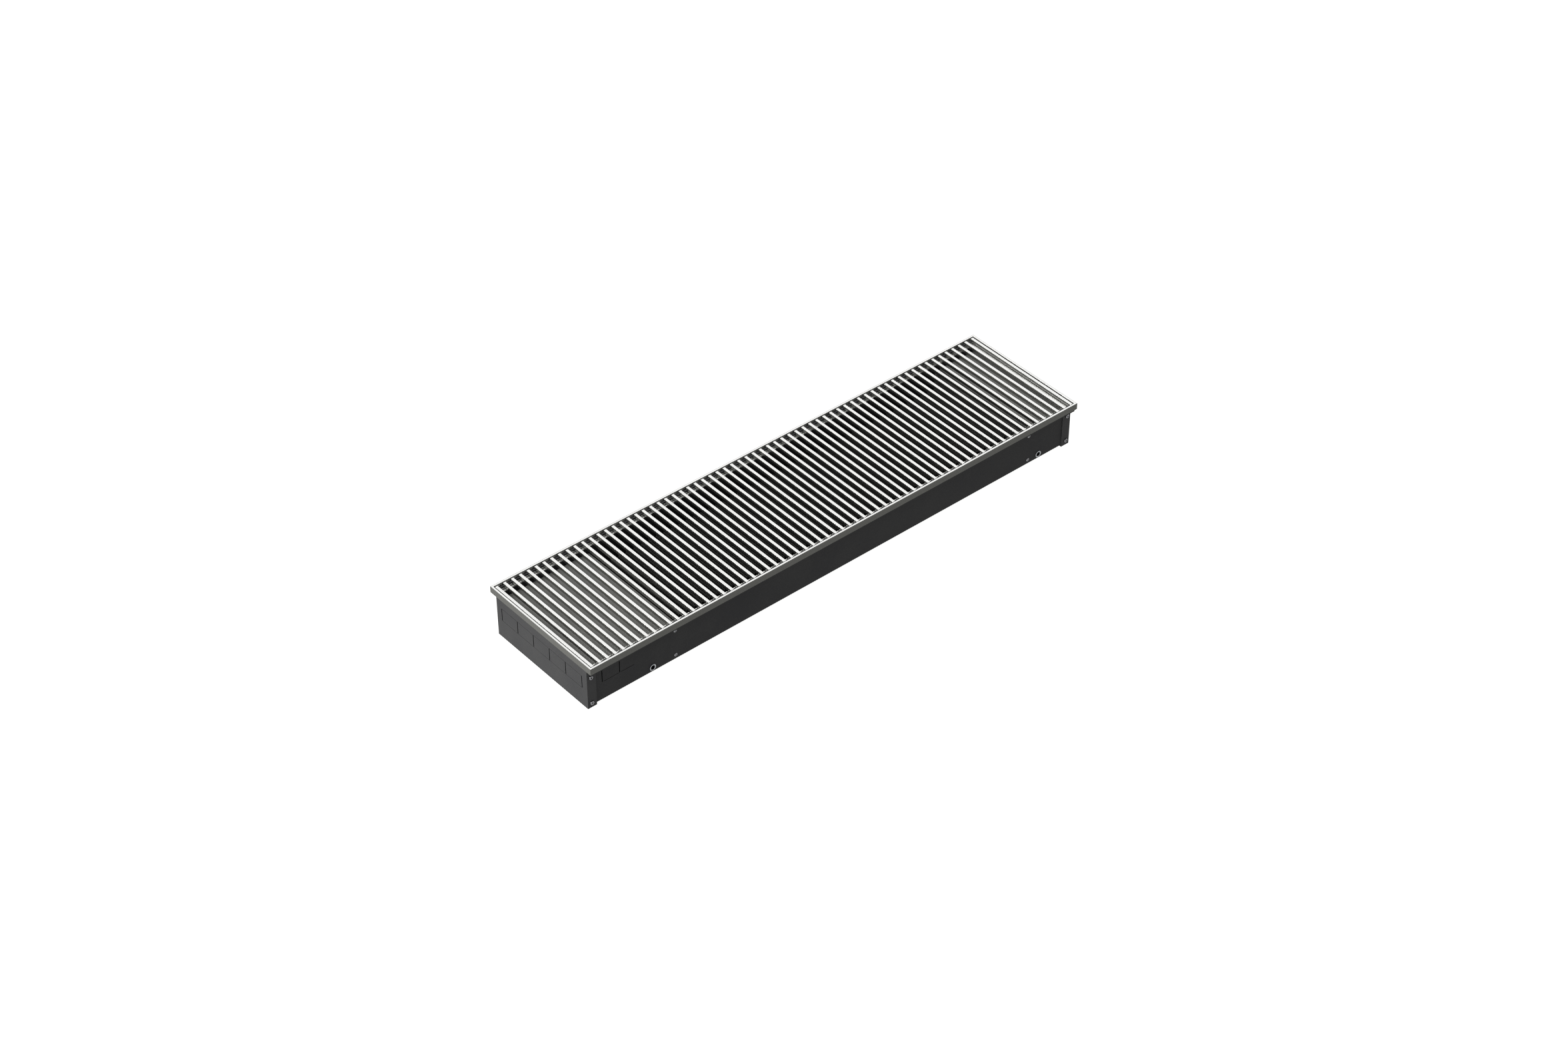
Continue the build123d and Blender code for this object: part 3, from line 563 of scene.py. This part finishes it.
# the top 1.2 mm of each fin is mixed towards a lighter grey, in patches
fin_top_band = add_node(fin_paint, "ShaderNodeMapRange", {
    "Value": fin_level, "From Min": fin_high[2] - FIN_TOP_BAND, "From Max": fin_high[2]}).outputs[0]
fin_top_patches = add_node(fin_paint, "ShaderNodeMath", {0: fin_top_band, 1: runs}, operation="MULTIPLY").outputs[0]
coat = add_node(
    fin_paint, "ShaderNodeMix", {0: runs, 6: "#2E2E2C", 7: "#40403D"}, data_type="RGBA").outputs[2]
fin_colour = add_node(fin_paint, "ShaderNodeMix", {0: fin_top_patches, 6: coat, 7: "#5A5A58"}, data_type="RGBA")
fin_gloss = add_node(fin_paint, "ShaderNodeMapRange", {"Value": runs, "To Min": 0.4, "To Max": 0.6})
fin_bump = add_node(fin_paint, "ShaderNodeBump", {"Height": runs, "Distance": RUN_DEPTH})
set_surface(fin_paint, fin_shader, fin_colour, fin_gloss, fin_bump)
build_piece("corrugated_fins", [fin_grid + [x, 0, 0] for x in fin_starts + FIN_MIDDLE], fin_paint, "casing",
            ["fin_pack"], open_rows=True)
build_piece("fin_collars", [collar_grid + [0, y, TUBE_Z] for y in TUBE_Y], fin_paint, "casing",
            open_rows=True, crease=60.0)

# Drawn copper: warm and bright, dulled in brown patches by heat.
TARNISH_SIZE = 0.018
TARNISH_DEPTH = 0.00002
copper, copper_shader = new_material("drawn_copper", Metallic=1.0)
copper_place = add_node(copper, "ShaderNodeTexCoord", {}).outputs["Object"]
tarnish = add_node(copper, "ShaderNodeTexNoise", {
    "Vector": copper_place, "Scale": 1 / TARNISH_SIZE, "Detail": 6.0}).outputs["Fac"]
dulled = add_node(
    copper, "ShaderNodeMapRange", {"Value": tarnish, "From Min": 0.4, "From Max": 0.7}).outputs[0]
copper_colour = add_node(copper, "ShaderNodeMix", {0: dulled, 6: "#D08A63", 7: "#7E4A33"}, data_type="RGBA")
copper_gloss = add_node(copper, "ShaderNodeMapRange", {"Value": dulled, "To Min": 0.25, "To Max": 0.5})
copper_bump = add_node(copper, "ShaderNodeBump", {"Height": tarnish, "Distance": TARNISH_DEPTH})
set_surface(copper, copper_shader, copper_colour, copper_gloss, copper_bump)
dress(copper, "tube_flow", "tube_second", "tube_third", "tube_return", "return_bends_right",
      "return_bend_left")

# Moulded rubber grommets, sized in millimetres: a groove for the sheet, and on both sides of it a round
# lip, which is half an ellipse about LIP_MIDDLE (along the tube, out from it).
WEB_X = (-0.3254, 0.4149)
LIP_MIDDLE = (1.55, 9.55)
LIP_HALF = (0.95, 1.95)
GROMMET_SIDES = 32
lip_turn = np.linspace(-np.pi / 2, np.pi / 2, 7)
lip_along = LIP_MIDDLE[0] + LIP_HALF[0] * np.cos(lip_turn)
lip_radius = LIP_MIDDLE[1] + LIP_HALF[1] * np.sin(lip_turn)
grommet_along = np.concatenate([lip_along, [0.6, 0.6, -0.6, -0.6], -lip_along[::-1]]) / 1000
grommet_radius = np.concatenate([lip_radius, [11.5, 9.5, 9.5, 11.5], lip_radius[::-1]]) / 1000
grommet_grid = turn_round(grommet_along, grommet_radius, GROMMET_SIDES)[..., [2, 1, 0]]
build_piece("moulded_grommets", [grommet_grid + [x, y, TUBE_Z] for x in WEB_X for y in TUBE_Y], rubber,
            "casing", ["tube_grommets"])

# ---- Pipe sockets and air vent ----
# Hexagon sockets and the vent's body are machined from brass bar: fine rings from the lathe, dulled a
# little. The vent's spindle is nickel plated. A wave texture repeats every WAVE_STEP over its scale.
RING_PITCH = 0.0008
WAVE_STEP = 0.31
STAIN_SIZE = 0.005
STAIN_SWING = 0.1


def machined(name, dark, light, roughness, along):
    """Turned metal: rings at the tool's pitch along one axis (X or Z), with stains in its tone."""
    metal, shader = new_material(name, Metallic=1.0)
    place = add_node(metal, "ShaderNodeTexCoord", {}).outputs["Object"]
    rings = add_node(metal, "ShaderNodeTexWave", {
        "Vector": place, "Scale": WAVE_STEP / RING_PITCH, "Distortion": 0.4}, bands_direction=along)
    stain = add_node(metal, "ShaderNodeTexNoise", {
        "Vector": place, "Scale": 1 / STAIN_SIZE, "Detail": 4.0}).outputs["Fac"]
    colour = add_node(metal, "ShaderNodeMix", {0: stain, 6: dark, 7: light}, data_type="RGBA")
    gloss = add_node(metal, "ShaderNodeMapRange", {
        "Value": stain, "To Min": roughness + STAIN_SWING, "To Max": roughness - STAIN_SWING})
    bump = add_node(metal, "ShaderNodeBump", {"Height": rings.outputs["Fac"], "Distance": LINE_DEPTH})
    set_surface(metal, shader, colour, gloss, bump)
    return metal


dress(machined("turned_brass_socket", "#A8853F", "#D2B268", 0.32, "X"), "flow_socket", "return_socket")
dress(machined("turned_brass_vent", "#A8853F", "#D2B268", 0.3, "Z"), "air_vent_body")
dress(machined("nickel_plate", "#A9A7A1", "#CFCDC7", 0.24, "Z"), "air_vent_screw")

# ---- Grille ----
# Flat bars sawn from extruded aluminium strip and satin anodised. The sides are painted a little darker
# than the walking faces, as painted shade. The last half millimetre at each end is the saw cut, duller and
# greyer still.
SAW_CUT = 0.0005
ROLLING_BARS = 6
rolling = range(1, ROLLING_BARS + 1)

bar_metal, bar_shader, bar_place, bar_colour, bar_gloss = drawn_aluminium(
    "anodised_bar", "#D8D8D6", "#E8E8E6", 0.28, 1)
bar_y = add_node(bar_metal, "ShaderNodeSeparateXYZ", {"Vector": bar_place}).outputs[1]
bar_reach = add_node(bar_metal, "ShaderNodeMath", {0: bar_y}, operation="ABSOLUTE").outputs[0]
bar_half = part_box("grille_bars")[1][1]
sawn = add_node(bar_metal, "ShaderNodeMapRange", {
    "Value": bar_reach, "From Min": bar_half - SAW_CUT, "From Max": bar_half - SAW_CUT / 2,
}).outputs[0]
sawn_colour = add_node(
    bar_metal, "ShaderNodeMix", {0: sawn, 6: bar_colour, 7: "#8E8E8C"}, data_type="RGBA").outputs[2]
sawn_gloss = add_node(bar_metal, "ShaderNodeMix", {0: sawn, 2: bar_gloss, 3: 0.55})

# painted shade: faces that turn away from up are painted darker; the Z of the normal runs from 0.6 to 0.8
# where an edge rounds over
bar_normal = bar_place.node.outputs["Normal"]
bar_up = add_node(bar_metal, "ShaderNodeSeparateXYZ", {"Vector": bar_normal}).outputs[2]
top_free_of_painted_shade = add_node(
    bar_metal, "ShaderNodeMapRange", {"Value": bar_up, "From Min": 0.6, "From Max": 0.8}).outputs[0]
# painted shade: the sides take the bar's colour times a light grey
side_painted_shade = add_node(
    bar_metal, "ShaderNodeMix", {0: 1.0, 6: sawn_colour, 7: "#CBCBC9"}, data_type="RGBA",
    blend_type="MULTIPLY").outputs[2]
bar_tone = add_node(
    bar_metal, "ShaderNodeMix", {0: top_free_of_painted_shade, 6: side_painted_shade, 7: sawn_colour}, data_type="RGBA")
set_sockets(bar_metal, bar_shader, {"Base Color": bar_tone.outputs[2], "Roughness": sawn_gloss.outputs[0]})
dress(bar_metal, "grille_bars", *[f"rolling_bar_{number}" for number in rolling])

# Steel spring wire runs through all the bars. Its turns lie close, so it shows as fine rings in its relief
# and gloss, with painted shade in the grooves between the turns.
wire_steel, wire_shader = new_material("spring_wire_steel", Metallic=1.0)
wire_place = add_node(wire_steel, "ShaderNodeTexCoord", {}).outputs["Object"]
turns = add_node(wire_steel, "ShaderNodeTexWave", {
    "Vector": wire_place, "Scale": WAVE_STEP / RING_PITCH}, bands_direction="X").outputs["Fac"]
wire_gloss = add_node(wire_steel, "ShaderNodeMapRange", {"Value": turns, "To Min": 0.5, "To Max": 0.28})
wire_bump = add_node(wire_steel, "ShaderNodeBump", {"Height": turns, "Distance": RING_PITCH / 4})
# painted shade: darker grey in the grooves between the turns, lighter on their crests
wire_tone_with_groove_shade = add_node(wire_steel, "ShaderNodeMix", {0: turns, 6: "#5C5C5B", 7: "#A2A2A1"}, data_type="RGBA")
set_surface(wire_steel, wire_shader, wire_tone_with_groove_shade, wire_gloss, wire_bump)
dress(wire_steel, "grille_wires", *[f"rolling_wires_{number}" for number in rolling])

# Spacer sleeves of moulded black polyamide, slightly waisted with rounded ends.
FLOW_MARK = 0.0012
polyamide, polyamide_shader = new_material("moulded_polyamide", Specular_IOR_Level=0.4)
polyamide_place = add_node(polyamide, "ShaderNodeTexCoord", {}).outputs["Object"]
flow = add_node(polyamide, "ShaderNodeTexNoise", {
    "Vector": polyamide_place, "Scale": 1 / FLOW_MARK, "Detail": 3.0}).outputs["Fac"]
polyamide_colour = add_node(
    polyamide, "ShaderNodeMix", {0: flow, 6: "#1B1B1C", 7: "#2A2A2B"}, data_type="RGBA")
polyamide_gloss = add_node(polyamide, "ShaderNodeMapRange", {"Value": flow, "To Min": 0.38, "To Max": 0.52})
polyamide_bump = add_node(polyamide, "ShaderNodeBump", {"Height": flow, "Distance": LINE_DEPTH})
set_surface(polyamide, polyamide_shader, polyamide_colour, polyamide_gloss, polyamide_bump)

BAR_PITCH = 0.015
BAR_HALF = 0.0025
BAR_TOTAL = 67
FIRST_BAR = -0.495
STUB = 0.0045
WIRE_Y = 0.117
WIRE_Z = 0.084
SLEEVE_RADIUS = 0.0015
SLEEVE_WAIST = 0.0002
SLEEVE_END = (0.0008, 0.00125, 0.00142)
SLEEVE_SIDES = 12


def sleeve_grids(spans):
    """Sleeves on both wires, for each (start, length): radius dips as a sine, and rounds in at the ends."""
    share = np.array([0.0, 0.0, 0.02, 0.06, 0.3, 0.5, 0.7, 0.94, 0.98, 1.0, 1.0])
    radius = SLEEVE_RADIUS - SLEEVE_WAIST * np.sin(np.pi * share)
    radius[:3], radius[-3:] = SLEEVE_END, SLEEVE_END[::-1]
    grids = []
    for start, length in spans:
        grid = turn_round(start + length * share, radius, SLEEVE_SIDES)[..., [2, 1, 0]]
        grids += [grid + [0, side * WIRE_Y, WIRE_Z] for side in (-1, 1)]
    return grids


# a sleeve fills each gap between fixed bars; where bars roll, each side of a gap has a stub of its own
fixed_start = FIRST_BAR + ROLLING_BARS * BAR_PITCH
gap_spans = [(fixed_start + i * BAR_PITCH + BAR_HALF, BAR_PITCH - 2 * BAR_HALF)
             for i in range(BAR_TOTAL - ROLLING_BARS - 1)]
gap_spans.append((fixed_start - BAR_HALF - STUB, STUB))
build_piece("waisted_grille_sleeves", sleeve_grids(gap_spans), polyamide, "grille",
            ["grille_sleeves"])
for number in rolling:
    bar_x = FIRST_BAR + (number - 1) * BAR_PITCH
    stubs = [(bar_x + BAR_HALF, STUB)] + ([(bar_x - BAR_HALF - STUB, STUB)] if number > 1 else [])
    build_piece(f"waisted_rolling_sleeves_{number}", sleeve_grids(stubs), polyamide,
                f"rolling_link_{number}", [f"rolling_sleeves_{number}"])
